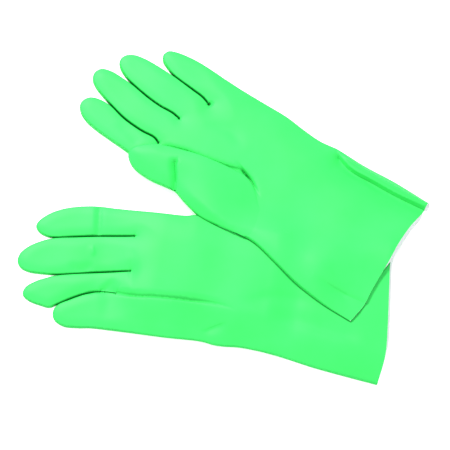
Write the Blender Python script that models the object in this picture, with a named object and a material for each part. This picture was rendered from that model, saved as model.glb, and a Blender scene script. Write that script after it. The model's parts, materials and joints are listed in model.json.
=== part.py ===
"""A pair of flock-lined household rubber gloves, lying one across the other.

The right glove lies on the surface with its thumb folded beneath its palm. The left glove lies across it,
palm up, with its thumb folded over the palm. Each glove is a thin rubber hand shell (palm and sleeve), a
white flock lining and five digit shells, cut at the digits' roots so that every digit bends at a hinge.

Lengths are in millimetres until a mesh is made. In a glove's own frame, u runs from the cuff edge to the
fingertips and v across the hand, from the index finger's side to the little finger's side. The left glove
is the mirrored hand, so its v points the other way in its frame. +Z is up, and the pair rests on Z = 0.
"""

import math

import bpy
from mathutils import Vector

# Driving dimensions, in millimetres and degrees.
METRE = 0.001
WALL = 0.6  # rubber wall of every shell
SEAM_GAP = 0.3  # between pieces that touch
FLOCK = 0.4  # thickness of the flock lining
FLOCK_INSET = WALL + SEAM_GAP  # from the shell's outside to the lining's outside
LINING_STEPBACK = 1.5  # the lining stops this far inside the cuff edge and the knuckle cut

SLEEVE_THICK = 12.5  # a flattened sleeve, outside
PALM_THICK = 8.0  # right palm, over its tucked thumb
LEFT_PALM_THICK = 9.0
FINGER_THICK = 8.6
THUMB_THICK = 7.6  # left thumb, lying on its palm
TUCKED_THICK = 5.6  # right thumb, pressed flat beneath its palm
PALM_RISE = 6.0  # how far the tucked thumb lifts the right palm
KNUCKLE_RISE = 5.4  # underside of the right glove's fingers at their roots

RIGHT_CUFF = (141.1, -96.5)  # middle of the cuff edge on the surface, world X and Y
RIGHT_HEADING = 170.0  # direction of +u, from world +X
LEFT_CUFF = (146.1, -51.0)
LEFT_HEADING = 143.0

# The left glove lies over the right one's index-side edge, a line in the left glove's u and v.
LAP_POINT = (166.0, -66.0)
LAP_ANGLE = math.radians(LEFT_HEADING - RIGHT_HEADING)
LAP_HEIGHT = 14.8  # top of the right glove and the gap over it
LAP_REACH = 62.0  # the left glove comes down to the surface within this distance of the edge

# Each knuckle cut is a line across the hand: u at v = 0, and how u changes with v.
RIGHT_KNUCKLES = (227.0, 0.0)
LEFT_KNUCKLES = (229.3, -0.22)
CUT_GAP = 0.2  # each piece stands this far back from a cut

CORNER_STEPS = 3  # facets round each corner of a cross-section
FLAT_STEPS = 6  # facets along its flat top and bottom
THUMB_CLEARANCE = 1.8  # between the left palm and the thumb that lies over it
TIP_ANGLES = (28.0, 52.0, 72.0)  # rings of a rounded fingertip, in degrees

RUBBER = {"colour": (0.085, 0.80, 0.20, 1.0), "roughness": 0.45}
COTTON = {"colour": (0.86, 0.86, 0.84, 1.0), "roughness": 0.95}


def material(name, finish):
    made = bpy.data.materials.new(name)
    made.use_nodes = True
    shader = made.node_tree.nodes["Principled BSDF"]
    shader.inputs["Base Color"].default_value = finish["colour"]
    shader.inputs["Roughness"].default_value = finish["roughness"]
    shader.inputs["Metallic"].default_value = 0.0
    made.diffuse_color = finish["colour"]
    return made


def section(index_edge, little_edge, bottom, thick):
    """One flattened cross-section: its two edge points in plan, the height of its underside, its thickness."""
    return {"edges": (Vector(index_edge), Vector(little_edge)), "bottom": bottom, "thick": thick}


def straight(u, v_index, v_little, bottom, thick):
    """A cross-section at right angles to the hand."""
    return section((u, v_index), (u, v_little), bottom, thick)


def on_cut(knuckles, forward, v_index, v_little, bottom, thick):
    """A cross-section along a knuckle cut, standing forward of it."""
    u_middle, slope = knuckles
    ends = [(u_middle + slope * v + forward, v) for v in (v_index, v_little)]
    return section(ends[0], ends[1], bottom, thick)


def shrunk(sections, inset):
    """The same sections, each moved inwards by the inset."""
    result = []
    for one in sections:
        first, last = one["edges"]
        inwards = (last - first).normalized() * inset
        result.append(section(first + inwards, last - inwards, one["bottom"] + inset, one["thick"] - 2 * inset))
    return result


def tip_sections(last, tip):
    """Sections that narrow from the last full one to a rounded tip."""
    first_edge, last_edge = last["edges"]
    centre = (first_edge + last_edge) / 2
    half = (last_edge - first_edge) / 2
    reach = Vector(tip) - centre
    result = []
    for angle in map(math.radians, TIP_ANGLES):
        middle = centre + reach * math.sin(angle)
        side = half * math.cos(angle) ** 0.9
        thick = last["thick"] * math.cos(angle) ** 0.6
        sink = (last["thick"] - thick) / 2
        result.append(section(middle - side, middle + side, last["bottom"] + sink, thick))
    return result


def ring_points(one):
    """The section's outline: a rounded rectangle, from its index-side edge over the top and back below."""
    first, last = one["edges"]
    width = (last - first).length
    across = (last - first) / width
    radius = min(one["thick"] * 0.48, width * 0.45)
    low, high = one["bottom"], one["bottom"] + one["thick"]
    corners = (
        (radius, high - radius, 180.0),
        (width - radius, high - radius, 90.0),
        (width - radius, low + radius, 0.0),
        (radius, low + radius, -90.0),
    )
    points = []
    for along, height, start in corners:
        for step in range(CORNER_STEPS + 1):
            angle = math.radians(start - 90.0 * step / CORNER_STEPS)
            flat = first + across * (along + radius * math.cos(angle))
            points.append((flat.x, flat.y, height + radius * math.sin(angle)))
        if start in (180.0, 0.0):
            points += between_corners(first, across, radius, width - radius, high if start else low, start)
    return points


def between_corners(first, across, near, far, height, start):
    """Points along the flat top or bottom, which let a wide section follow the lap."""
    shares = [step / FLAT_STEPS for step in range(1, FLAT_STEPS)]
    if not start:
        shares.reverse()
    flats = [first + across * (near + (far - near) * share) for share in shares]
    return [(flat.x, flat.y, height) for flat in flats]


def lap_height(u, v):
    """How far the left glove is lifted where it lies over the right one."""
    off_edge = (u - LAP_POINT[0]) * -math.sin(LAP_ANGLE) + (v - LAP_POINT[1]) * math.cos(LAP_ANGLE)
    share = min(max(off_edge / LAP_REACH, 0.0), 1.0)
    return LAP_HEIGHT * (1.0 - share * share * (3.0 - 2.0 * share))


class Glove:
    """One glove: an empty on its cuff edge, and the way its u and v become places."""

    def __init__(self, name, cuff, heading, side, lift):
        self.name = name
        self.side = side
        self.lift = lift
        self.frame = bpy.data.objects.new(f"{name}_glove_frame", None)
        self.frame.location = (cuff[0] * METRE, cuff[1] * METRE, 0.0)
        self.frame.rotation_euler = (0.0, 0.0, math.radians(heading))
        bpy.context.scene.collection.objects.link(self.frame)

    def place(self, point):
        """A point of the glove, from u, v and height to metres in the glove's frame."""
        u, v, height = point
        return Vector((u, v * self.side, height + self.lift(u, v))) * METRE

    def loft(self, node, sections, pivot, tip, finish):
        """An open skin through the sections, closed at the tip if there is one, with its origin at the pivot."""
        origin = Vector((pivot[0], pivot[1] * self.side, pivot[2])) * METRE
        rings = [ring_points(one) for one in sections]
        count = len(rings[0])
        points = [self.place(point) - origin for ring in rings for point in ring]
        faces = []
        for start in range(0, (len(rings) - 1) * count, count):
            for here in range(count):
                beside = (here + 1) % count
                faces.append((start + here, start + beside, start + count + beside, start + count + here))
        if tip:
            end = sections[-1]
            points.append(self.place((tip[0], tip[1], end["bottom"] + end["thick"] / 2)) - origin)
            start = (len(rings) - 1) * count
            faces += [(start + here, start + (here + 1) % count, len(points) - 1) for here in range(count)]
        if self.side > 0:
            faces = [face[::-1] for face in faces]
        mesh = bpy.data.meshes.new(node)
        mesh.from_pydata(points, [], faces)
        mesh.materials.append(finish)
        mesh.shade_smooth()
        piece = bpy.data.objects.new(node, mesh)
        piece.parent = self.frame
        piece.location = origin
        bpy.context.scene.collection.objects.link(piece)
        return piece


def thicken(piece, wall):
    """Turns an open skin into a closed wall that grows inwards."""
    solid = piece.modifiers.new("wall", "SOLIDIFY")
    solid.thickness = wall * METRE
    solid.offset = -1.0
    solid.use_even_offset = True
    solid.use_rim = True


def cut_hole(glove, name, pieces, middle, size, heading):
    """Cuts one rounded hole through the wall that a thumb's root meets."""
    bpy.ops.mesh.primitive_cylinder_add(vertices=20, radius=0.5 * METRE, depth=METRE)
    cutter = bpy.context.object
    cutter.name = name
    for vertex in cutter.data.vertices:
        vertex.co = Vector([component * scale for component, scale in zip(vertex.co, size)])
    cutter.parent = glove.frame
    cutter.location = glove.place(middle)
    cutter.rotation_euler = (0.0, 0.0, math.radians(heading) * glove.side)
    cutter.hide_render = True
    cutter.display_type = "WIRE"
    for piece in pieces:
        cut = piece.modifiers.new("thumb opening", "BOOLEAN")
        cut.operation = "DIFFERENCE"
        cut.object = cutter


def build_hand(glove, sections, rubber, cotton):
    """The hand shell with its lining, both open at the cuff and at the knuckles."""
    shell = glove.loft(f"{glove.name}_hand", sections, (0.0, 0.0, 0.0), None, rubber)
    thicken(shell, WALL)
    inner = shrunk(sections, FLOCK_INSET)
    for end, step in ((inner[0], LINING_STEPBACK), (inner[-1], -LINING_STEPBACK)):
        end["edges"] = tuple(edge + Vector((step, 0.0)) for edge in end["edges"])
    lining = glove.loft(f"{glove.name}_lining", inner, (0.0, 0.0, 0.0), None, cotton)
    thicken(lining, FLOCK)
    return shell, lining


def build_digit(glove, name, sections, tip, pivot, rubber):
    """One digit shell, open at its root, with its origin on its hinge."""
    skin = sections + tip_sections(sections[-1], tip)
    thicken(glove.loft(f"{glove.name}_{name}", skin, pivot, tip, rubber), WALL)


def right_hand_sections():
    flat = SLEEVE_THICK
    return [
        straight(-1.0, -66.0, 65.0, 0.0, flat),
        straight(26.0, -65.0, 63.0, 0.0, flat),
        straight(54.0, -62.0, 60.0, 0.0, flat),
        straight(80.0, -58.0, 56.0, 0.0, flat),
        straight(102.0, -56.0, 54.0, PALM_RISE, PALM_THICK),
        straight(130.0, -56.0, 53.0, PALM_RISE, PALM_THICK),
        straight(160.0, -59.0, 52.5, PALM_RISE, PALM_THICK),
        straight(190.0, -58.0, 54.0, PALM_RISE, PALM_THICK),
        straight(216.0, -57.0, 56.0, PALM_RISE, PALM_THICK),
        on_cut(RIGHT_KNUCKLES, -CUT_GAP, -56.5, 56.0, KNUCKLE_RISE, FINGER_THICK),
    ]


def left_hand_sections():
    return [
        straight(0.0, -67.0, 68.0, 0.0, SLEEVE_THICK),
        straight(25.0, -67.5, 68.0, 0.0, SLEEVE_THICK),
        straight(52.0, -66.5, 66.0, 0.0, 12.0),
        straight(80.0, -63.0, 64.0, 0.0, 11.0),
        straight(109.0, -58.5, 61.0, 0.0, 10.0),
        straight(130.0, -60.0, 59.5, 0.0, LEFT_PALM_THICK),
        straight(155.0, -61.0, 60.0, 0.0, LEFT_PALM_THICK),
        straight(185.0, -58.5, 60.0, 0.0, LEFT_PALM_THICK),
        section((218.0, -57.0), (204.0, 58.5), 0.0, LEFT_PALM_THICK),
        on_cut(LEFT_KNUCKLES, -CUT_GAP, -56.0, 58.0, 0.0, LEFT_PALM_THICK),
    ]


def build_right(rubber, cotton):
    glove = Glove("right", RIGHT_CUFF, RIGHT_HEADING, 1, lambda u, v: 0.0)
    shell, lining = build_hand(glove, right_hand_sections(), rubber, cotton)
    axis = KNUCKLE_RISE + FINGER_THICK

    def finger(name, v_index, v_little, later, tip):
        root = on_cut(RIGHT_KNUCKLES, CUT_GAP, v_index, v_little, KNUCKLE_RISE, FINGER_THICK)
        pivot = (RIGHT_KNUCKLES[0], (v_index + v_little) / 2, axis)
        build_digit(glove, name, [root] + [straight(*one, FINGER_THICK) for one in later], tip, pivot, rubber)

    finger("index", -56.0, -34.3, [(255, -56.0, -31.3, 3.0), (291, -51.0, -22.5, 0.4)], (320.5, -29))
    finger("middle", -33.7, -0.5, [(263, -26.3, 6.4, 2.6), (297, -19.0, 15.0, 0.3)], (332, 7))
    finger("ring", 0.2, 19.2, [(246, 3.8, 20.5, 4.2), (262, 7.4, 25.4, 3.0), (291, 15.2, 42.5, 0.6)], (320, 36))
    finger("little", 19.8, 55.6, [(246, 21.4, 56.5, 1.6), (262, 26.8, 58.0, 0.2), (274, 34.6, 59.4, 0.0)], (291.5, 52))

    root = section((143.0, -55.4), (117.0, -24.6), 0.0, TUCKED_THICK)
    later = [
        section((176.0, -25.0), (153.0, 3.0), 0.0, TUCKED_THICK),
        section((193.0, -7.0), (175.0, 15.0), 0.0, TUCKED_THICK),
    ]
    build_digit(glove, "thumb", [root] + later, (203.0, 21.0), (130.0, -40.0, 0.0), rubber)
    cut_hole(glove, "right_thumb_cutter", (shell, lining), (124.0, -45.0, PALM_RISE), (9.0, 30.0, 4.0), 40.0)


def build_left(rubber, cotton):
    glove = Glove("left", LEFT_CUFF, LEFT_HEADING, -1, lap_height)
    shell, lining = build_hand(glove, left_hand_sections(), rubber, cotton)
    top = LEFT_PALM_THICK
    free_cut = (256.0, 0.0)  # the index finger bends clear of the thumb that lies over its root

    def finger(name, cut, v_index, v_little, later, tip):
        root = on_cut(cut, CUT_GAP, v_index, v_little, 0.0, FINGER_THICK)
        middle = (v_index + v_little) / 2
        pivot = (cut[0] + cut[1] * middle, middle, top + lap_height(cut[0], v_index))
        build_digit(glove, name, [root] + [straight(*one, 0.0, FINGER_THICK) for one in later], tip, pivot, rubber)

    finger("index", free_cut, -55.0, -31.2, [(275, -55.0, -31.0), (298, -54.0, -30.5)], (319.5, -41))
    finger("middle", LEFT_KNUCKLES, -30.5, -0.9, [(262, -30.2, -1.2), (304, -27.5, -1.5)], (328.5, -13))
    finger("ring", LEFT_KNUCKLES, -0.3, 28.8, [(262, -0.4, 29.6), (292, 1.2, 29.4)], (317.5, 17))
    finger("little", LEFT_KNUCKLES, 29.6, 57.6, [(246, 31.2, 57.2), (270, 33.4, 54.6)], (288, 44))

    base = [
        on_cut(LEFT_KNUCKLES, CUT_GAP, -55.6, -31.3, 0.0, FINGER_THICK),
        on_cut(free_cut, -CUT_GAP, -55.0, -31.2, 0.0, FINGER_THICK),
    ]
    thicken(glove.loft("left_index_base", base, (free_cut[0], -43.0, top), None, rubber), WALL)

    rest = top + THUMB_CLEARANCE
    thumb = [
        section((147.0, -66.5), (151.0, -9.0), rest, THUMB_THICK),
        section((172.0, -66.5), (174.0, -12.5), rest, THUMB_THICK),
        section((199.0, -62.5), (202.0, -19.5), rest, THUMB_THICK),
        section((221.0, -65.5), (225.0, -27.5), rest, THUMB_THICK),
        section((236.0, -66.0), (240.0, -34.5), rest, THUMB_THICK),
    ]
    pivot = (149.0, -37.5, 24.5)
    build_digit(glove, "thumb", thumb, (254.0, -52.0), pivot, rubber)
    cut_hole(glove, "left_thumb_cutter", (shell, lining), (146.0, -38.0, top), (9.0, 34.0, 4.0), 0.0)


def main():
    for old in list(bpy.data.objects):
        bpy.data.objects.remove(old)
    rubber = material("green_rubber", RUBBER)
    cotton = material("white_flock", COTTON)
    build_right(rubber, cotton)
    build_left(rubber, cotton)


main()
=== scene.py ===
"""The looks of a pair of flock-lined household rubber gloves, lying one across the other.

Each glove's skin is worked out as a height field over its outline: a rounded flattened tube with its creases,
draped over whatever lies beneath. Its own coordinates are millimetres: u runs from the cuff edge to the
fingertips, and v across the hand, from the index finger's side to the little finger's side.
"""

import json
import math

import bpy
import numpy as np
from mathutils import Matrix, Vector
from mathutils.geometry import delaunay_2d_cdt


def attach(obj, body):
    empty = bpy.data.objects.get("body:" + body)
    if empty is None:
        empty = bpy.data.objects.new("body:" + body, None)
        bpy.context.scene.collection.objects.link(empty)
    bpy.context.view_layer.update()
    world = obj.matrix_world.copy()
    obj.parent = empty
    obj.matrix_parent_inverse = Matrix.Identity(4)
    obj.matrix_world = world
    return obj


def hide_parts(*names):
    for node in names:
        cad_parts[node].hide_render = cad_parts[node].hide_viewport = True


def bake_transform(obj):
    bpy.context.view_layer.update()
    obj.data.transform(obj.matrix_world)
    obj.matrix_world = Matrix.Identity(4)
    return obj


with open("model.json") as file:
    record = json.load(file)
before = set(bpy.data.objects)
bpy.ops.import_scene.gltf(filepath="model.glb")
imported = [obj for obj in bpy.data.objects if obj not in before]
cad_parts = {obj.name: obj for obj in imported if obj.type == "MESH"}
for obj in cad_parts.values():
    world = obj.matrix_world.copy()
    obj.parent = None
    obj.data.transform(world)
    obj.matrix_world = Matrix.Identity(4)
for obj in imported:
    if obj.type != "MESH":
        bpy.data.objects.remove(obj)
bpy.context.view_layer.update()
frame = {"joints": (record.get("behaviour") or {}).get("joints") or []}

MM = 0.001
FILM = 0.5  # thickness of the rubber
FLOCK = 0.45  # thickness of the flock lining
SPACING = 2.5  # between the skin's points
EDGE_ROWS = (0.4, 1.1, 2.1)  # rows of points beside an outline, where the skin turns over
CREASE_ROWS = (-2.0, -1.2, -0.6, 0.0, 0.6, 1.2, 2.0)  # rows of points along a sharp crease
GRID = 2.0  # spacing of the grid that a draped underside is settled on
CONTACT_GAP = 0.35  # between the two gloves
CUFF_STEP = 2.1  # how much further out the underside reaches at the cuff, where its flock shows
CUFF_TUCK = 1.8  # how much further in it ends elsewhere
CUFF_REACH = 30.0  # how far from the cuff edge the underside is moved
EDGE_FADE = 1.5  # how far from an edge creases and thickness fade out
GLOVE_PULL, THUMB_PULL = 0.011, 0.012  # curvature that their weight gives the draped films, per millimetre
RIGHT_SEED, LEFT_SEED = 3, 8  # for each glove's unevenness

# Where the gloves lie: the middle of each cuff edge, and the direction of +u from world +X.
RIGHT_CUFF, RIGHT_HEADING = (141.6, -96.2), 170.0
LEFT_CUFF, LEFT_HEADING = (146.6, -50.6), 143.0

DIGITS = ("index", "middle", "ring", "little")


# ---------------------------------------------------------------- curves and fields

def blend_step(low, high, value):
    """0 below low, 1 above high, smooth between."""
    share = np.clip((value - low) / (high - low), 0.0, 1.0)
    return share * share * (3.0 - 2.0 * share)


def curve(points, step=1.6):
    """A smooth path through the points, resampled evenly."""
    points = np.array(points, float)
    padded = np.vstack([2 * points[0] - points[1], points, 2 * points[-1] - points[-2]])
    fine = []
    for before, start, end, after in zip(padded, padded[1:], padded[2:], padded[3:]):
        knots = np.cumsum([0.0] + [math.dist(a, b) ** 0.5 for a, b in ((before, start), (start, end), (end, after))])
        when = np.linspace(knots[1], knots[2], 12, endpoint=False)[:, None]
        first = lerp(before, start, knots[0], knots[1], when)
        second = lerp(start, end, knots[1], knots[2], when)
        third = lerp(end, after, knots[2], knots[3], when)
        left = lerp(first, second, knots[0], knots[2], when)
        right = lerp(second, third, knots[1], knots[3], when)
        fine.append(lerp(left, right, knots[1], knots[2], when))
    fine = np.vstack(fine + [points[-1:]])
    return resample(fine, step)


def lerp(start, end, low, high, when):
    return start + (end - start) * (when - low) / (high - low)


def resample(path, step):
    reach = np.concatenate([[0.0], np.cumsum(np.hypot(*np.diff(path, axis=0).T))])
    count = max(2, int(round(reach[-1] / step)) + 1)
    places = np.linspace(0.0, reach[-1], count)
    return np.column_stack([np.interp(places, reach, path[:, axis]) for axis in (0, 1)])


def nearest(points, path):
    """For each point: its distance to the path, the share of the path's length there, and its signed distance."""
    start, along = path[:-1], np.diff(path, axis=0)
    length = np.hypot(*along.T)
    reach = np.concatenate([[0.0], np.cumsum(length)])
    offset = points[:, None, :] - start
    share = np.clip((offset * along).sum(2) / length**2, 0.0, 1.0)
    gap = offset - share[..., None] * along
    square = (gap**2).sum(2)
    best = square.argmin(1)
    rows = np.arange(len(points))
    distance = np.sqrt(square[rows, best])
    cross = along[best, 0] * gap[rows, best, 1] - along[best, 1] * gap[rows, best, 0]
    where = (reach[best] + share[rows, best] * length[best]) / reach[-1]
    return distance, where, np.sign(cross) * distance


def inside(points, loop):
    """Which points lie inside a closed loop."""
    result = np.zeros(len(points), bool)
    for (x0, y0), (x1, y1) in zip(loop, np.roll(loop, -1, axis=0)):
        if y0 != y1:
            crosses = (y0 > points[:, 1]) != (y1 > points[:, 1])
            result ^= crosses & (points[:, 0] < (x1 - x0) * (points[:, 1] - y0) / (y1 - y0) + x0)
    return result


def waves(points, seed, size, count=5):
    """Gentle unevenness between about -1 and 1, with waves of roughly the given size."""
    rng = np.random.default_rng(seed)
    total = np.zeros(len(points))
    for _ in range(count):
        angle = rng.uniform(0.0, 2.0 * math.pi)
        direction = np.array([math.cos(angle), math.sin(angle)])
        stretch = 2.0 * math.pi / (size * rng.uniform(0.7, 1.6))
        total += np.sin(points @ direction * stretch + rng.uniform(0.0, 2.0 * math.pi))
    return total / count


class Crease:
    """A groove or step along a path, which fades at its start and its end. Left and right are as one walks along it.

    widths: how far the groove reaches on its left and on its right. step: how much lower the left side is, between the
    two distances of the ramp, easing back over reach.
    """

    def __init__(self, path, depth, widths, step=0.0, ramp=(-0.5, 0.8), fades=(0.2, 0.2), reach=18.0,
                 on=None):
        self.path = curve(path)
        self.depth, self.widths, self.fades, self.on = depth, widths, fades, on
        self.step, self.ramp, self.reach = step, ramp, reach

    def drop(self, points):
        distance, share, signed = nearest(points, self.path)
        fade = blend_step(0.0, self.fades[0], share) * blend_step(0.0, self.fades[1], 1.0 - share)
        width = np.where(signed > 0.0, self.widths[0], self.widths[1])
        groove = self.depth * np.exp(-((distance / width) ** 2))
        if self.step:
            groove += self.step * blend_step(*self.ramp, signed) * np.exp(-((distance / self.reach) ** 2))
        return groove * fade


# ---------------------------------------------------------------- gloves

class Glove:
    """One glove's place, outlines and heights."""

    def __init__(self, name, cuff, heading, side):
        self.name, self.side = name, side
        angle = math.radians(heading)
        self.origin = np.array(cuff)
        self.along = np.array([math.cos(angle), math.sin(angle)])
        self.across = np.array([-math.sin(angle), math.cos(angle)]) * side
        self.outlines = {}
        self.creases = []
        self.webs = {}

    def world(self, points):
        return self.origin + points[:, :1] * self.along + points[:, 1:2] * self.across

    def local(self, places):
        offset = places - self.origin
        return np.column_stack([offset @ self.along, offset @ self.across])

    def wall(self, name):
        """A digit's outline, less what its webs take off its ends."""
        first, last = self.webs.get(name, (0, 0))
        return self.outlines[name][first:len(self.outlines[name]) - last]

    def point(self, u, v, height):
        x, y = self.world(np.array([[u, v]]))[0]
        return (x * MM, y * MM, height * MM)


class Sheet:
    """A piece of skin over one closed part of a glove's plan: kinds say what each stretch of its border is."""

    def __init__(self, glove, name, stretches, walls):
        """stretches: (path, kind) in order round the border, kind being edge, cuff or root. walls: paths that the
        skin turns over at."""
        self.glove, self.name, self.walls = glove, name, walls
        border, kinds = [], []
        for path, kind in stretches:
            border += list(path[:-1])
            kinds += ["edge" if kind != "edge" and step == 0 else kind for step in range(len(path) - 1)]
        self.loop = np.array(border)
        area = np.cross(self.loop, np.roll(self.loop, -1, axis=0)).sum()
        if area < 0:
            self.loop = self.loop[::-1]
            kinds = kinds[::-1]
        self.plan(kinds)

    def plan(self, kinds):
        """Triangles over the border, with closer rows beside its edges."""
        low, high = self.loop.min(0), self.loop.max(0)
        rows = np.arange(low[1], high[1], SPACING * 0.87)
        columns = np.arange(low[0], high[0], SPACING)
        shift = (np.arange(len(rows)) % 2) * SPACING / 2
        grid = np.array([(u + move, v) for v, move in zip(rows, shift) for u in columns])
        grid = grid[inside(grid, self.loop)]
        room = nearest(grid, np.vstack([self.loop, self.loop[:1]]))[0]
        to_wall = np.min([nearest(grid, wall)[0] for wall in self.walls], axis=0)
        grid = grid[(room > 1.1) & (to_wall > EDGE_ROWS[-1] + 0.9)]
        extra = [self.row_beside(distance) for distance in EDGE_ROWS]
        for crease in self.creases():
            if min(crease.widths) < SPACING:
                grid = grid[nearest(grid, crease.path)[0] > CREASE_ROWS[-1] + 0.8]
                extra += [self.row_along(crease.path, distance) for distance in CREASE_ROWS]
        points = np.vstack([self.loop, grid] + extra)
        count = len(self.loop)
        edges = [(here, (here + 1) % count) for here in range(count)]
        found = delaunay_2d_cdt([Vector(point) for point in points], edges, [], 0, 1e-4, True)
        self.points = np.array([tuple(vertex) for vertex in found[0]])
        self.faces = np.array(found[2])
        self.faces = self.faces[inside(self.points[self.faces].mean(1), self.loop)]
        corner = self.points[self.faces]
        turn = np.cross(corner[:, 1] - corner[:, 0], corner[:, 2] - corner[:, 0])
        self.faces[turn < 0] = self.faces[turn < 0][:, ::-1]
        self.kind = np.full(len(self.points), "inner", dtype=object)
        for index, sources in enumerate(found[3]):
            border = [source for source in sources if source < count]
            if border:
                self.kind[index] = kinds[border[0]]

    def creases(self):
        return [crease for crease in self.glove.creases
                if (self.name in crease.on if crease.on else self.name != "thumb")]

    def row_along(self, path, distance):
        """A row of points beside a crease's path, within the border."""
        along = np.gradient(path, axis=0)
        aside = np.column_stack([-along[:, 1], along[:, 0]]) / np.hypot(*along.T)[:, None]
        row = path + aside * distance
        row = row[inside(row, self.loop)]
        room = nearest(row, np.vstack([self.loop, self.loop[:1]]))[0] if len(row) else np.zeros(0)
        to_path = nearest(row, path)[0] if len(row) else np.zeros(0)
        return row[(room > 0.7) & (to_path > abs(distance) * 0.9)]

    def row_beside(self, distance):
        """A row of points at a distance inside the border, beside its walls."""
        following = np.roll(self.loop, -1, axis=0)
        along = following - self.loop
        middle = (self.loop + following) / 2
        inward = np.column_stack([-along[:, 1], along[:, 0]]) / np.hypot(*along.T)[:, None]
        row = middle + inward * distance
        row = row[inside(row, self.loop)]
        to_wall = np.min([nearest(row, wall)[0] for wall in self.walls], axis=0)
        room = nearest(row, np.vstack([self.loop, self.loop[:1]]))[0]
        return row[(np.abs(to_wall - distance) < 0.12) & (room > distance * 0.9)]


def skin(sheet, top, bottom):
    """Points and faces of the closed or open tube that the top and bottom make over a sheet.

    At the cuff the underside ends further out than the top where the flock shows, and further in elsewhere.
    """
    count = len(sheet.points)
    shared = sheet.kind == "edge"
    lower = np.where(shared, np.arange(count), count + np.arange(count))
    longer = sheet.points.copy()
    low, high = sheet.glove.flock_shows
    shown = blend_step(low, high, sheet.points[:, 1])
    at_cuff = 1.0 - blend_step(0.0, CUFF_REACH, sheet.points[:, 0])
    longer[:, 0] -= (CUFF_STEP * shown - CUFF_TUCK * (1.0 - shown)) * at_cuff
    points = np.vstack([np.column_stack([sheet.glove.world(sheet.points), top]),
                        np.column_stack([sheet.glove.world(longer), bottom])])
    faces = np.vstack([sheet.faces, lower[sheet.faces][:, ::-1]])
    if sheet.glove.side < 0:
        faces = faces[:, ::-1]
    used = np.unique(faces)
    renumber = np.full(len(points), -1)
    renumber[used] = np.arange(len(used))
    return points[used], renumber[faces]


def weld_normals(skins):
    """Normals that run on smoothly from one piece of a glove to the next."""
    points = np.vstack([one[0] for one in skins])
    starts = np.cumsum([0] + [len(one[0]) for one in skins])
    faces = np.vstack([one[1] + start for one, start in zip(skins, starts)])
    _, same = np.unique(np.round(points, 2), axis=0, return_inverse=True)
    same = same.reshape(-1)
    corner = points[faces]
    facing = np.cross(corner[:, 1] - corner[:, 0], corner[:, 2] - corner[:, 0])
    total = np.zeros((same.max() + 1, 3))
    for column in range(3):
        np.add.at(total, same[faces[:, column]], facing)
    total /= np.maximum(np.linalg.norm(total, axis=1), 1e-12)[:, None]
    normals = total[same]
    return [normals[start:end] for start, end in zip(starts, starts[1:])]


def open_edges(faces):
    """The directed edges that only one face has."""
    edges = np.vstack([faces[:, [0, 1]], faces[:, [1, 2]], faces[:, [2, 0]]])
    known = {tuple(edge) for edge in edges}
    return [edge for edge in known if edge[::-1] not in known]


def walled(points, faces, normals, outer, inner):
    """The skin between two depths below the surface, with a rim wherever it is open."""
    count = len(points)
    both = np.vstack([points - normals * outer, points - normals * inner])
    rims = []
    for start, end in open_edges(faces):
        rims += [(end, start, start + count), (end, start + count, end + count)]
    every = [faces, faces[:, ::-1] + count]
    if rims:
        every.append(np.array(rims))
    return both, np.vstack(every)


def make_piece(name, points, faces, finish, normals=None):
    mesh = bpy.data.meshes.new(name)
    mesh.from_pydata((points * MM).tolist(), [], faces.tolist())
    mesh.materials.append(finish)
    mesh.shade_smooth()
    if normals is None:
        mesh.set_sharp_from_angle(angle=math.radians(70.0))
    else:
        extended = np.vstack([normals, -normals])
        mesh.normals_split_custom_set_from_vertices(extended.tolist())
    piece = bpy.data.objects.new(name, mesh)
    bpy.context.scene.collection.objects.link(piece)
    return piece


# ---------------------------------------------------------------- the plan of each glove

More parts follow.
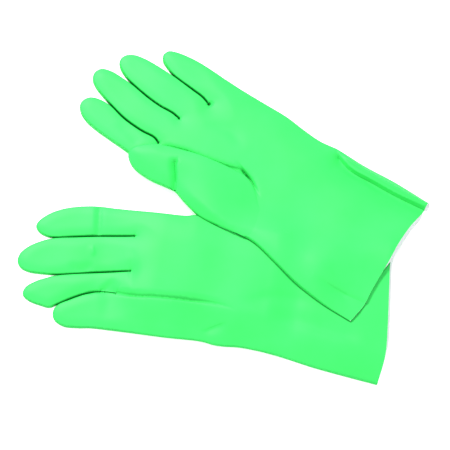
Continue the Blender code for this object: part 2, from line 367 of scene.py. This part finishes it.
def right_glove():
    """The lower glove. Where two fingers touch, the points of their shared border are the same in both outlines."""
    glove = Glove("right", RIGHT_CUFF, RIGHT_HEADING, 1)
    roots = [(232, -57.8), (234, -32.6), (231, 0.8), (240, 23), (236, 57.4)]
    glove.roots = roots
    glove.flock_shows = (52.0, 22.0)
    glove.cuff = [(0, -66), (2, -48), (0, -25), (-4, 14), (-5.5, 40), (-2.5, 65.5)]
    glove.sides = [
        curve([(0, -66), (25, -65), (54, -62), (85, -58), (120, -56), (155, -58), (180, -62), (192, -59.4),
               roots[0]]),
        curve([(-2.5, 65.5), (25, 63), (54, 60), (89, 55), (121, 53.4), (137, 55), (145, 55.2), (157, 53.9),
               (190, 55.9), roots[4]]),
    ]
    outlines = {
        "index": [roots[0], (255, -57.3), (275, -56.2), (292, -52.7), (304, -48.4), (315, -41.8), (323, -33.3),
                  (324.5, -27.8), (320.5, -22.4), (313, -19.5), (306, -19.4), (285, -24), (262, -28.6), roots[1]],
        "middle": [roots[1], (262, -28.6), (285, -24), (306, -19.4), (317.5, -14.2), (327, -7.6), (333, 0), (334, 7.5),
                   (330, 13.6), (322, 16.5), (310, 16.4), (296, 14.9), (263, 7), roots[2]],
        "ring": [roots[2], (263, 7), (296, 14.9), (304, 18.4), (313.6, 23.6), (321.5, 30.9), (322.5, 38), (316, 43),
                 (304, 45.6), (296, 46.2), (290, 42.4), (279.4, 35), (268.4, 28.6), (259.4, 24.8), (250, 23.2),
                 roots[3]],
        "little": [roots[3], (250, 23.2), (259.4, 24.8), (268.4, 28.6), (279.4, 35), (290, 42.4), (292.4, 50),
                   (289, 57), (280, 61), (268, 60.4), (256, 58.4), roots[4]],
    }
    glove.outlines = {name: curve(points, 1.5) for name, points in outlines.items()}
    glove.webs = {"ring": (0, 7), "little": (7, 0)}
    glove.thumb = curve([(143, -55.4), (160, -41), (177, -24), (192, -8), (201, 8), (203, 17), (199, 24),
                         (190, 26), (180, 20.5), (168, 12), (152, 2), (134, -11), (117, -24.6)], 1.5)
    glove.creases = [
        Crease([(126, 25.6), (130, 22.6), (137, 20.8), (150, 19), (170, 19.2), (196, 20.8), (222, 23.4), (240, 23),
                (250, 23.2), (258, 24)],
               2.0, (1.2, 2.6), step=2.0, ramp=(-1.8, 0.8), fades=(0.35, 0.12), reach=20.0,
               on=("hand", "ring", "little")),
        Crease([(249, 23.2), (259.4, 24.8), (268.4, 28.6)], 3.0, (1.1, 0.9), fades=(0.35, 0.35),
               on=("ring", "little")),
        Crease([(194, 25), (175, 28), (147, 36), (132, 44)], 1.3, (8.0, 8.0), fades=(0.4, 0.4), on=("hand",)),
        Crease([(134, 34), (142, 37), (153, 43), (160, 47)], 1.0, (4.5, 1.5), fades=(0.4, 0.4), on=("hand",)),
        Crease([(224, 20), (229, 8), (231, -8), (234, -26)], 0.5, (2.4, 5.0), fades=(0.3, 0.3)),
        Crease([(108, 24), (82, 21), (50, 25), (14, 28)], 1.5, (9.0, 6.0), fades=(0.3, 0.2), on=("hand",)),
        Crease([(135, 18), (103, 5), (76, 2), (50, 8)], 1.0, (5.0, 8.0), fades=(0.4, 0.4), on=("hand",)),
        Crease([(243, 9), (248, 16), (254, 23)], 0.4, (9.0, 2.6), step=1.8, ramp=(-2.6, 2.0), fades=(0.6, 0.01),
               reach=10.0, on=("ring",)),
        Crease([(267, -26), (269, -38), (272, -57)], 1.7, (2.6, 3.2), step=-1.0, fades=(0.15, 0.01), reach=9.0,
               on=("index",)),
        Crease([(270, -19), (268, -13), (266, -7)], -0.9, (1.8, 3.0), fades=(0.4, 0.4), on=("middle",)),
        Crease([(288, 2), (280, 7), (270, 4), (264, -3)], 1.0, (4.0, 3.0), fades=(0.3, 0.3), on=("middle",)),
    ]
    return glove


def left_glove():
    """The upper glove."""
    glove = Glove("left", LEFT_CUFF, LEFT_HEADING, -1)
    roots = [(240, -55.5), (239, -30.5), (239, 0.5), (226, 29), (229, 59.2)]
    glove.roots = roots
    glove.flock_shows = (-25.0, 15.0)
    glove.cuff = [(-4, -66), (-5, -46), (-2.5, -31), (1, 2), (4, 22), (5, 40), (4.3, 60), (5.2, 71.6)]
    glove.sides = [
        curve([(-4, -66), (25, -68), (51, -67), (80, -63), (109, -58.5), (127, -60), (150, -60), (180, -58),
               (205, -57), (226, -56), roots[0]]),
        curve([(5.2, 71.6), (40, 70), (74, 66.2), (93, 65.4), (103, 65), (112, 63.2), (121, 61.8), (137, 61.8),
               (160, 63), (180, 61.8), (208, 60), roots[4]]),
    ]
    outlines = {
        "index": [roots[0], (263, -55), (280, -55.2), (295, -55), (306, -53.8), (315.5, -50.2), (321.6, -44.4),
                  (322.3, -38.6), (319, -32.4), (311.5, -28.6), (299, -27.2), (279, -30.4), (259, -30.5), (245, -28.8),
                  roots[1]],
        "middle": [roots[1], (245, -28.8), (259, -30.5), (279, -30.4), (298, -27.2), (309, -24.8), (320, -21.7),
                   (328.5, -16.7), (331.6, -9.6), (328.7, -2.8), (319.5, 1.1), (307, 2), (295, 1.9), (275, 0),
                   (260, -0.2), (247, 1.1), roots[2]],
        "ring": [roots[2], (247, 1.1), (260, -0.2), (275, 0), (295, 1.9), (306, 4.3), (314.7, 8.1), (320.2, 13.8),
                 (320, 20.4), (314, 26.7), (303, 30.2), (290, 31.6), (269, 32.2), (246, 31.4), (234, 31), roots[3]],
        "little": [roots[3], (234, 31), (246, 31.4), (269, 32.2), (279.5, 34.9), (287, 38.2), (291, 43.6), (289.2, 50),
                   (281.5, 54), (270, 56.8), (257, 58.5), (242, 59), roots[4]],
    }
    glove.outlines = {name: curve(points, 1.5) for name, points in outlines.items()}
    glove.creases = [
        Crease([(103, 64), (99, 60.5), (94, 58), (80, 55), (59, 57), (33, 59.5), (0, 65)], 3.0, (3.4, 0.6),
               step=5.0, fades=(0.15, 0.01), reach=16.0, on=("hand",)),
        Crease([(99, 63), (80, 61), (59, 62.2), (33, 64.6), (0, 68.4)], -2.6, (2.4, 3.0), fades=(0.15, 0.01),
               on=("hand",)),
        Crease([(-6, -46), (12, -49), (30, -51), (48, -51)], 2.2, (2.2, 5.0), fades=(0.01, 0.5), on=("hand",)),
        Crease([(238, -33), (225, -28), (212, -23), (192, -18.5), (172, -12), (160, -7), (149, -8), (139, -13),
                (128, -20)], 2.8, (7.0, 1.8), fades=(0.12, 0.35)),
        Crease([(172, -3), (165, -4), (159, -6), (149, -9), (139, -13.5), (129, -20)], 5.2, (1.5, 0.8),
               fades=(0.5, 0.8), on=("hand",)),
        Crease([(218, 8), (193, 18), (168, 10)], 0.9, (6.0, 6.0), fades=(0.4, 0.4), on=("hand",)),
        Crease([(285, -38), (262, -40), (250, -44)], 0.8, (5.0, 4.0), fades=(0.4, 0.2), on=("index",)),
    ]
    return glove


def hand_sheet(glove):
    """The palm and sleeve, up to the fingers' roots."""
    order = [glove.sides[0]]
    for start, end in zip(glove.roots, glove.roots[1:]):
        order.append(resample(np.array([start, end], float), 2.0))
    order.append(glove.sides[1][::-1])
    order.append(curve(glove.cuff[::-1], 2.0))
    kinds = ["edge"] + ["root"] * 4 + ["edge", "cuff"]
    walls = glove.sides + [glove.wall(name) for name in DIGITS]
    return Sheet(glove, "hand", list(zip(order, kinds)), walls)


def digit_sheet(glove, name):
    place = DIGITS.index(name)
    start, end = glove.roots[place], glove.roots[place + 1]
    back = resample(np.array([start, end], float), 2.0)[::-1]
    walls = [glove.wall(name)] + glove.sides
    return Sheet(glove, name, [(glove.outlines[name], "edge"), (back, "root")], walls)


# ---------------------------------------------------------------- materials

def rubber():
    """Bright green, satin, faintly uneven, with painted shade in its narrow slits."""
    finish = bpy.data.materials.new("green_rubber")
    finish.use_nodes = True
    nodes, links = finish.node_tree.nodes, finish.node_tree.links
    shader = nodes["Principled BSDF"]
    shader.inputs["Metallic"].default_value = 0.0
    shader.inputs["Specular IOR Level"].default_value = 0.25
    place = nodes.new("ShaderNodeTexCoord")
    cloud = nodes.new("ShaderNodeTexNoise")
    cloud.inputs["Scale"].default_value = 22.0
    cloud.inputs["Detail"].default_value = 4.0
    links.new(place.outputs["Object"], cloud.inputs["Vector"])
    shade = nodes.new("ShaderNodeValToRGB")
    shade.color_ramp.elements[0].position = 0.3
    shade.color_ramp.elements[0].color = (0.039, 0.75, 0.124, 1.0)
    shade.color_ramp.elements[1].position = 0.7
    shade.color_ramp.elements[1].color = (0.049, 0.81, 0.148, 1.0)
    links.new(cloud.outputs["Fac"], shade.inputs["Fac"])
    # Painted shade: in narrow slits and where films touch, ambient occlusion darkens the base colour towards deep
    # green.
    slit = nodes.new("ShaderNodeAmbientOcclusion")
    slit.inputs["Distance"].default_value = 0.0026
    depth = nodes.new("ShaderNodeMapRange")
    depth.inputs["From Min"].default_value = 0.35
    depth.inputs["From Max"].default_value = 0.88
    links.new(slit.outputs["AO"], depth.inputs["Value"])
    # This node repeats its socket names for each data type: as RGBA, its inputs are 0, 6 and 7 and its output 2.
    painted_shade_mix = nodes.new("ShaderNodeMix")
    painted_shade_mix.data_type = "RGBA"
    # the deep green of the painted shade
    painted_shade_mix.inputs[6].default_value = (0.0, 0.28, 0.03, 1.0)
    links.new(depth.outputs["Result"], painted_shade_mix.inputs[0])
    links.new(shade.outputs["Color"], painted_shade_mix.inputs[7])
    links.new(painted_shade_mix.outputs[2], shader.inputs["Base Color"])
    rough = nodes.new("ShaderNodeMapRange")
    rough.inputs["To Min"].default_value = 0.44
    rough.inputs["To Max"].default_value = 0.56
    links.new(cloud.outputs["Fac"], rough.inputs["Value"])
    links.new(rough.outputs["Result"], shader.inputs["Roughness"])
    grain = nodes.new("ShaderNodeTexNoise")
    grain.inputs["Scale"].default_value = 900.0
    grain.inputs["Detail"].default_value = 3.0
    links.new(place.outputs["Object"], grain.inputs["Vector"])
    bump = nodes.new("ShaderNodeBump")
    bump.inputs["Strength"].default_value = 0.10
    bump.inputs["Distance"].default_value = 0.0004
    links.new(grain.outputs["Fac"], bump.inputs["Height"])
    links.new(bump.outputs["Normal"], shader.inputs["Normal"])
    return finish


def flock():
    """Short white cotton fibres, lightened by a painted glow."""
    finish = bpy.data.materials.new("white_flock")
    finish.use_nodes = True
    nodes, links = finish.node_tree.nodes, finish.node_tree.links
    shader = nodes["Principled BSDF"]
    shader.inputs["Roughness"].default_value = 0.95
    shader.inputs["Specular IOR Level"].default_value = 0.1
    shader.inputs["Sheen Weight"].default_value = 0.3
    # A painted glow: the flock gives light of its own, so that it stays light where it lies in shade.
    shader.inputs["Emission Color"].default_value = (0.95, 1.0, 1.0, 1.0)
    shader.inputs["Emission Strength"].default_value = 0.20
    place = nodes.new("ShaderNodeTexCoord")
    fibre = nodes.new("ShaderNodeTexNoise")
    fibre.inputs["Scale"].default_value = 1400.0
    fibre.inputs["Detail"].default_value = 5.0
    links.new(place.outputs["Object"], fibre.inputs["Vector"])
    shade = nodes.new("ShaderNodeValToRGB")
    shade.color_ramp.elements[0].color = (0.72, 0.77, 0.77, 1.0)
    shade.color_ramp.elements[1].color = (0.84, 0.88, 0.88, 1.0)
    links.new(fibre.outputs["Fac"], shade.inputs["Fac"])
    links.new(shade.outputs["Color"], shader.inputs["Base Color"])
    bump = nodes.new("ShaderNodeBump")
    bump.inputs["Strength"].default_value = 0.6
    bump.inputs["Distance"].default_value = 0.0006
    links.new(fibre.outputs["Fac"], bump.inputs["Height"])
    links.new(bump.outputs["Normal"], shader.inputs["Normal"])
    return finish


# ---------------------------------------------------------------- heights

def rounded(distance, radius):
    """0 at an edge, 1 beyond the radius, as a quarter circle."""
    share = np.clip(distance / radius, 0.0, 1.0)
    return np.sqrt(1.0 - (1.0 - share) ** 2)


def bowed(distance, radius):
    """0 at an edge, 1 beyond the radius, as half of a flat bow."""
    share = np.clip(distance / radius, 0.0, 1.0)
    return 1.0 - (1.0 - share) ** 2


def right_base(points):
    """The underside of the lower glove: its palm lies over its own tucked thumb."""
    u, v = points[:, 0], points[:, 1]
    rise = blend_step(76.0, 106.0, u) * (1.0 - blend_step(205.0, 262.0, u))
    low_side = blend_step(20.0, 46.0, v)
    return 6.0 * rise * (1.0 - 0.75 * low_side)


def right_bow(points):
    """Height of the bow between the edges."""
    return 7.0 - 3.4 * blend_step(60.0, 110.0, points[:, 0])


def left_corner(points):
    """1 at the cuff corner that lies flat on the lower glove."""
    return (1.0 - blend_step(0.0, 50.0, points[:, 0])) * (1.0 - blend_step(-20.0, 20.0, points[:, 1]))


def left_bow(points):
    """The same for the upper glove, which is flatter at its low cuff corner."""
    return 5.2 - 0.8 * blend_step(40.0, 130.0, points[:, 0]) - 3.6 * left_corner(points)


def heights(sheet, points, base, bow, seed):
    """The top and the underside: a small fold at the edges, and a flat bow between them."""
    wall, digit_wall = 1.3, 2.2
    if sheet.glove.side < 0:
        wall, digit_wall = 2.3 - 1.9 * left_corner(points), 4.3
    distance = np.min([nearest(points, path)[0] for path in sheet.walls], axis=0)
    finger = blend_step(195.0, 250.0, points[:, 0])
    edge = base + 0.9 - 0.5 * finger
    top = edge + (wall + (digit_wall - wall) * finger) * rounded(distance, 1.4 - 0.3 * finger)
    top += (bow - (bow - 1.6) * finger) * bowed(distance, 30.0 - 20.0 * finger)
    top += 0.8 * waves(points, seed, 60.0) * blend_step(0.0, 12.0, distance)
    drop = sum((crease.drop(points) for crease in sheet.creases()), np.zeros(len(points)))
    top -= drop * blend_step(0.0, EDGE_FADE, distance)
    bottom = base + (edge - base) * (1.0 - rounded(distance, 2.5))
    return np.maximum(top, bottom + 1.3 * blend_step(0.0, EDGE_FADE, distance)), bottom


class Drape:
    """An underside that lies over an obstacle: a taut skin pulled down onto it by its own weight.

    It is settled on a grid in code, and not simulated as cloth.
    """

    ROUNDS = 500
    SMOOTHINGS = 3

    def __init__(self, low, high, obstacle, pull):
        """pull: the curvature that its weight gives the free skin, per millimetre."""
        self.low = np.array(low)
        self.shape = (np.ceil((np.array(high) - low) / GRID)).astype(int) + 1
        rows, columns = np.meshgrid(*[np.arange(count) for count in self.shape], indexing="ij")
        places = np.column_stack([rows.ravel(), columns.ravel()]) * GRID + self.low
        floor = obstacle(places).reshape(self.shape)
        height = floor.copy()
        for _ in range(self.ROUNDS):
            height = np.maximum(floor, self.neighbours(height) - pull * GRID**2 / 4.0)
        for _ in range(self.SMOOTHINGS):
            height = np.maximum(floor, self.neighbours(height))
        self.height = height

    @staticmethod
    def neighbours(height):
        """Each cell's mean of the four beside it."""
        around = np.pad(height, 1, mode="edge")
        return (around[:-2, 1:-1] + around[2:, 1:-1] + around[1:-1, :-2] + around[1:-1, 2:]) / 4.0

    def at(self, places):
        spot = np.clip((places - self.low) / GRID, 0.0, self.shape - 1.001)
        cell = spot.astype(int)
        part = spot - cell
        rows, columns = cell[:, 0], cell[:, 1]
        near = self.height[rows, columns] * (1 - part[:, 1]) + self.height[rows, columns + 1] * part[:, 1]
        far = self.height[rows + 1, columns] * (1 - part[:, 1]) + self.height[rows + 1, columns + 1] * part[:, 1]
        return near * (1 - part[:, 0]) + far * part[:, 0]


# ---------------------------------------------------------------- building

def joint_named(name):
    return next(joint for joint in frame["joints"] if joint["name"] == name)


def assemble(glove, sheets, fields, finish, lining_finish):
    """Turns a glove's sheets into pieces, and puts the hand's skin and lining on the glove's hand body."""
    names = ["hand"] + list(DIGITS)
    skins = [skin(sheets[name], *fields[name]) for name in names]
    normals = weld_normals(skins)
    for name, (points, faces), facing in zip(names, skins, normals):
        solid, solid_faces = walled(points, faces, facing, 0.0, FILM)
        piece = make_piece(f"{glove.name}_{name}_skin", solid, solid_faces, finish, facing)
        hand = f"{glove.name}_hand"
        if name == "hand":
            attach(piece, hand)
            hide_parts(hand, *(["left_index_base"] if glove.side < 0 else []))
            lining, lining_faces = walled(points, faces, facing, FILM + 0.05, FILM + FLOCK)
            inner = make_piece(f"{glove.name}_flock", lining, lining_faces, lining_finish)
            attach(inner, hand)
            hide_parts(f"{glove.name}_lining")
            continue
        body = f"{glove.name}_{name}"
        place = DIGITS.index(name)
        start = (np.array(glove.roots[place]) + np.array(glove.roots[place + 1])) / 2
        start_u = max(root[0] for root in glove.roots) + 1.0
        height = joint_named(f"{body}_bend")["pos_m"][2] / MM
        glove.point(start_u, start[1], height)
        glove.point(start_u + 24.0, start[1], height)
        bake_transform(piece)
        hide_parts(body)


def closed_sheet(glove, outline):
    """A pillow's sheet: its whole border is an edge."""
    closing = resample(np.array([outline[-1], outline[0]]), 1.5)
    return Sheet(glove, "thumb", [(outline, "edge"), (closing, "edge")], [np.vstack([outline, closing[1:]])])


def build_right(finish, lining_finish):
    """Builds the lower glove, and gives the function that says where its top surface is."""
    glove = right_glove()
    sheets = {"hand": hand_sheet(glove)} | {name: digit_sheet(glove, name) for name in DIGITS}
    fields = {}
    for name, sheet in sheets.items():
        base = right_base(sheet.points)
        fields[name] = heights(sheet, sheet.points, base, right_bow(sheet.points), RIGHT_SEED)
    assemble(glove, sheets, fields, finish, lining_finish)
    build_tucked_thumb(glove, finish)

    def top_at(places):
        """The lower glove's top surface at places on the ground, 0 beside it."""
        points = glove.local(places)
        result = np.zeros(len(points))
        for name, sheet in sheets.items():
            within = inside(points, sheet.loop)
            if within.any():
                some = points[within]
                result[within] = heights(sheet, some, right_base(some), right_bow(some), RIGHT_SEED)[0]
        return result

    return top_at


def build_tucked_thumb(glove, finish):
    """The lower glove's thumb lies flat beneath its palm."""
    sheet = closed_sheet(glove, glove.thumb)
    distance = nearest(sheet.points, sheet.walls[0])[0]
    half = 1.9
    edge = np.full(len(sheet.points), half)
    top = edge + 2.1 * rounded(distance, 5.0)
    bottom = edge - half * rounded(distance, 3.0)
    points, faces = skin(sheet, top, bottom)
    piece = make_piece("right_thumb_skin", points, faces, finish)
    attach(piece, "right_thumb")
    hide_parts("right_thumb")


def build_left(finish, lining_finish, top_below):
    """Builds the upper glove, draped over the lower one's top surface."""
    glove = left_glove()
    low = glove.origin - np.array([330.0, 130.0])
    high = glove.origin + np.array([80.0, 240.0])

    def obstacle(places):
        below = top_below(places)
        return below + CONTACT_GAP * (below > 0)

    drape = Drape(low, high, obstacle, GLOVE_PULL)
    sheets = {"hand": hand_sheet(glove)} | {name: digit_sheet(glove, name) for name in DIGITS}
    fields = {}
    for name, sheet in sheets.items():
        base = drape.at(glove.world(sheet.points))
        fields[name] = heights(sheet, sheet.points, base, left_bow(sheet.points), LEFT_SEED)
    assemble(glove, sheets, fields, finish, lining_finish)
    build_folded_thumb(glove, sheets, drape, finish)


def build_folded_thumb(glove, sheets, drape, finish):
    """The upper glove's thumb lies over its palm, and its root runs out into the palm's surface."""
    outline = curve([(112, -50), (118, -58.5), (127, -61), (145, -65), (162, -67.5), (174, -66), (186, -63.5),
                     (196, -61), (207, -62.7), (222, -65.5), (238, -65.6), (247.5, -62.6), (253.4, -57), (253.2, -50),
                     (247, -42), (238, -34.5), (230, -30.5), (217, -25.5), (200, -19.5), (182, -15), (168, -12),
                     (156, -10), (146, -12), (137, -17.5), (128, -25), (119, -32), (112, -40)], 1.5)
    glove.creases.append(Crease([(213, -35), (210, -42), (204, -49), (195, -62)], 4.2, (3.8, 0.9),
                                fades=(0.15, 0.01), on=("thumb",)))
    sheet = closed_sheet(glove, outline)

    def palm_top(points):
        result = np.zeros(len(points))
        for name in ("hand", "index", "middle"):
            part = sheets[name]
            within = inside(points, part.loop)
            if within.any():
                some = points[within]
                base = drape.at(glove.world(some))
                result[within] = heights(part, some, base, left_bow(some), LEFT_SEED)[0]
        return result

    places = glove.world(sheet.points)
    low, high = places.min(0) - 12.0, places.max(0) + 12.0
    under = Drape(low, high, lambda spots: palm_top(glove.local(spots)), THUMB_PULL)
    base = under.at(places)
    distance = nearest(sheet.points, sheet.walls[0])[0]
    out = blend_step(114.0, 196.0, sheet.points[:, 0] - 0.35 * (sheet.points[:, 1] + 30.0))
    edge = base - 0.2 + 3.2 * out
    top = edge + 2.6 * out * rounded(distance, 1.3) + 2.2 * out * bowed(distance, 12.0)
    top -= sum(crease.drop(sheet.points) for crease in sheet.creases()) * blend_step(0.0, EDGE_FADE, distance)
    bottom = edge - (0.4 + 0.9 * out) * rounded(distance, 2.5)
    points, faces = skin(sheet, top, bottom)
    piece = make_piece("left_thumb_skin", points, faces, finish)
    height = joint_named("left_thumb_bend")["pos_m"][2] / MM
    glove.point(138, -37.5, height)
    glove.point(172, -37.5, height)
    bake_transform(piece)
    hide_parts("left_thumb")


# ---------------------------------------------------------------- studio

def build_stage():
    """A floor that gives light of its own, so that it is as white as the background of the photo."""
    bpy.ops.mesh.primitive_plane_add(size=4.0, location=(0.0, 0.0, 0.0))
    floor = bpy.context.object
    floor.name = "pale_floor"
    finish = bpy.data.materials.new("pale_floor")
    finish.use_nodes = True
    shader = finish.node_tree.nodes["Principled BSDF"]
    shader.inputs["Base Color"].default_value = (0.92, 0.92, 0.92, 1.0)
    shader.inputs["Roughness"].default_value = 0.9
    shader.inputs["Specular IOR Level"].default_value = 0.1
    shader.inputs["Emission Color"].default_value = (1.0, 1.0, 1.0, 1.0)
    shader.inputs["Emission Strength"].default_value = 0.5
    floor.data.materials.append(finish)


def add_area_light(name, place, target, size, power):
    data = bpy.data.lights.new(name, "AREA")
    data.shape = "DISK"
    data.size = size
    data.energy = power
    light = bpy.data.objects.new(name, data)
    light.location = place
    light.rotation_euler = (Vector(target) - Vector(place)).to_track_quat("-Z", "Y").to_euler()
    bpy.context.scene.collection.objects.link(light)


def build_studio():
    build_stage()
    add_area_light("key", (-0.55, 0.95, 1.35), (0.0, 0.0, 0.0), 0.6, 31.0)
    add_area_light("fill", (-0.5, -0.9, 1.6), (0.0, 0.0, 0.0), 1.6, 9.0)
    world = bpy.data.worlds.new("studio")
    world.use_nodes = True
    world.node_tree.nodes["Background"].inputs["Color"].default_value = (1.0, 1.0, 1.0, 1.0)
    world.node_tree.nodes["Background"].inputs["Strength"].default_value = 0.60
    bpy.context.scene.world = world
    bpy.context.scene.view_settings.view_transform = "Standard"


def build_camera():
    elevation = math.radians(70.0)
    distance = 1.433
    aim = Vector((-0.0009, -0.0110, 0.0))
    data = bpy.data.cameras.new("camera")
    data.sensor_width = 36.0
    data.lens = 125.7
    data.clip_start = 0.05
    camera = bpy.data.objects.new("camera", data)
    camera.location = aim + distance * Vector((0.0, -math.cos(elevation), math.sin(elevation)))
    camera.rotation_euler = (math.pi / 2 - elevation, 0.0, 0.0)
    bpy.context.scene.collection.objects.link(camera)
    bpy.context.scene.camera = camera


def main():
    build_camera()
    build_studio()
    green, white = rubber(), flock()
    top_below = build_right(green, white)
    build_left(green, white, top_below)


main()
